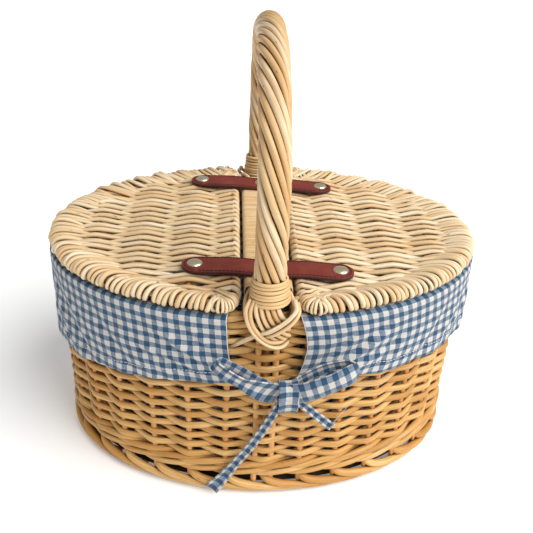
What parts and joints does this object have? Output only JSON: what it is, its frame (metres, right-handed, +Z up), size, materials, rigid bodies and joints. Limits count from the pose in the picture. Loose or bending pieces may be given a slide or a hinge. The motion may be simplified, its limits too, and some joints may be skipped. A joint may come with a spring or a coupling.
{
  "type": "wicker picnic basket",
  "caption": "Oval woven willow basket with two hinged half lids, a fixed roped carrying handle over the middle and a cloth liner tied at front and back.",
  "frame": {"origin": "on the floor, below the middle of the basket", "axes": "+Z up; +X from the left lid to the right lid; +Y from front to back, in the plane of the handle"},
  "size_m": [0.4064, 0.314, 0.4124],
  "materials": {
    "wall_willow": "satin",
    "lid_willow": "satin",
    "handle_willow": "satin",
    "binding_cane": "satin",
    "strap_leather": "satin",
    "rivet_brass": "polished",
    "gingham_cotton": "matte"
  },
  "bodies": {
    "basket": {"base_panel": "wall_willow", "base_stick_front": "wall_willow", "base_stick_middle": "wall_willow", "base_stick_back": "wall_willow", "foot_border": "wall_willow", "lower_wale": "wall_willow", "wall_weave": "wall_willow", "upper_wale": "wall_willow", "rim_border": "wall_willow", "wall_stakes": "wall_willow", "handle_core": "wall_willow", "handle_rope": "handle_willow", "handle_collar_front": "binding_cane", "handle_collar_back": "binding_cane", "handle_lashing_front": "binding_cane", "handle_lashing_back": "binding_cane", "centre_bar_core": "wall_willow", "centre_bar_wrap": "binding_cane", "strap_front_centre": "strap_leather", "strap_back_centre": "strap_leather", "rivet_front_centre": "rivet_brass", "rivet_back_centre": "rivet_brass", "liner_bag": "gingham_cotton", "liner_valance_left": "gingham_cotton", "liner_valance_right": "gingham_cotton", "tie_bow_front": "gingham_cotton", "tie_tail_long_front": "gingham_cotton", "tie_tail_short_front": "gingham_cotton", "tie_bow_back": "gingham_cotton", "tie_tail_long_back": "gingham_cotton", "tie_tail_short_back": "gingham_cotton"},
    "lid_left": {"lid_border_left": "lid_willow", "lid_weave_left": "lid_willow", "lid_hinge_stick_left": "lid_willow", "lid_rib_left_1": "lid_willow", "lid_rib_left_2": "lid_willow", "lid_rib_left_3": "lid_willow", "strap_front_left": "strap_leather", "strap_back_left": "strap_leather", "rivet_front_left": "rivet_brass", "rivet_back_left": "rivet_brass"},
    "lid_right": {"lid_border_right": "lid_willow", "lid_weave_right": "lid_willow", "lid_hinge_stick_right": "lid_willow", "lid_rib_right_1": "lid_willow", "lid_rib_right_2": "lid_willow", "lid_rib_right_3": "lid_willow", "strap_front_right": "strap_leather", "strap_back_right": "strap_leather", "rivet_front_right": "rivet_brass", "rivet_back_right": "rivet_brass"}
  },
  "joints": [
    {"name": "lid_left_hinge", "type": "hinge", "parent": "basket", "child": "lid_left", "pos_m": [-0.0218, 0, 0.2188], "axis": [0, 1, 0], "range_deg": [0, 91.5]},
    {"name": "lid_right_hinge", "type": "hinge", "parent": "basket", "child": "lid_right", "pos_m": [0.0218, 0, 0.2188], "axis": [0, -1, 0], "range_deg": [0, 91.5]}
  ]
}
